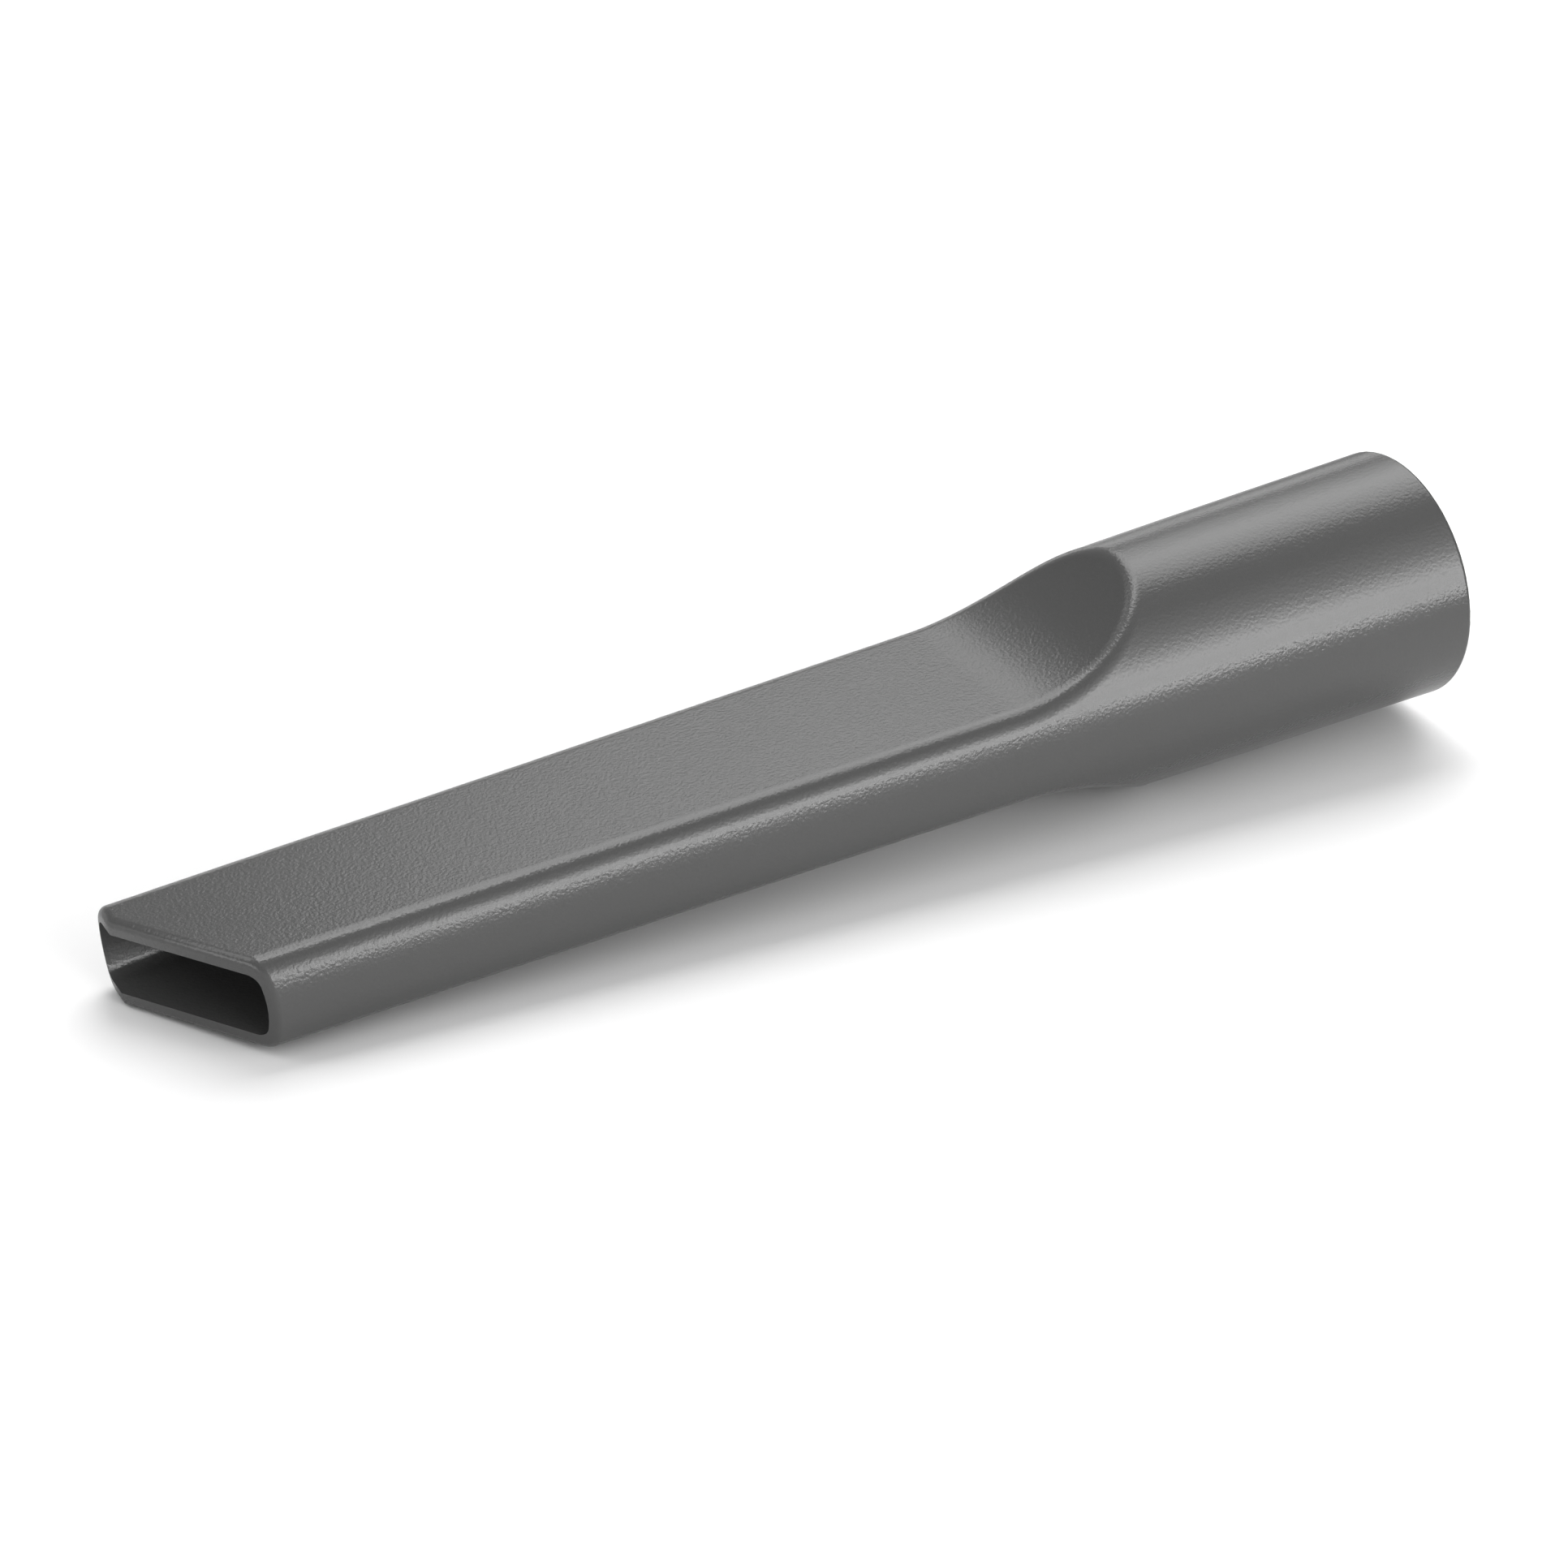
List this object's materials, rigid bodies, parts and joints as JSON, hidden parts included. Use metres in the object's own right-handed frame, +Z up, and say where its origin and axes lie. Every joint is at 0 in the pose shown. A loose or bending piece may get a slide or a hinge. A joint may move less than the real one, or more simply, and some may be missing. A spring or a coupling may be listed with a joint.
{
  "type": "vacuum crevice tool",
  "caption": "Hollow plastic crevice nozzle for a vacuum cleaner: a round socket that slides over the wand, scooped down to a long flat tapering duct with a bevelled mouth.",
  "frame": {"origin": "centre of the bounding box, on the floor that the tool lies on", "axes": "+X along the tool towards its socket, tipped up with it by 4.2 degrees; +Y across it, towards the blunted long corner of the mouth; +Z up, square to the wide sides but for the same tilt"},
  "size_m": [0.212, 0.0396, 0.0422],
  "materials": {
    "body_plastic": "fine moulded grain, satin"
  },
  "bodies": {
    "root": {"crevice_tool": "body_plastic"}
  },
  "joints": []
}
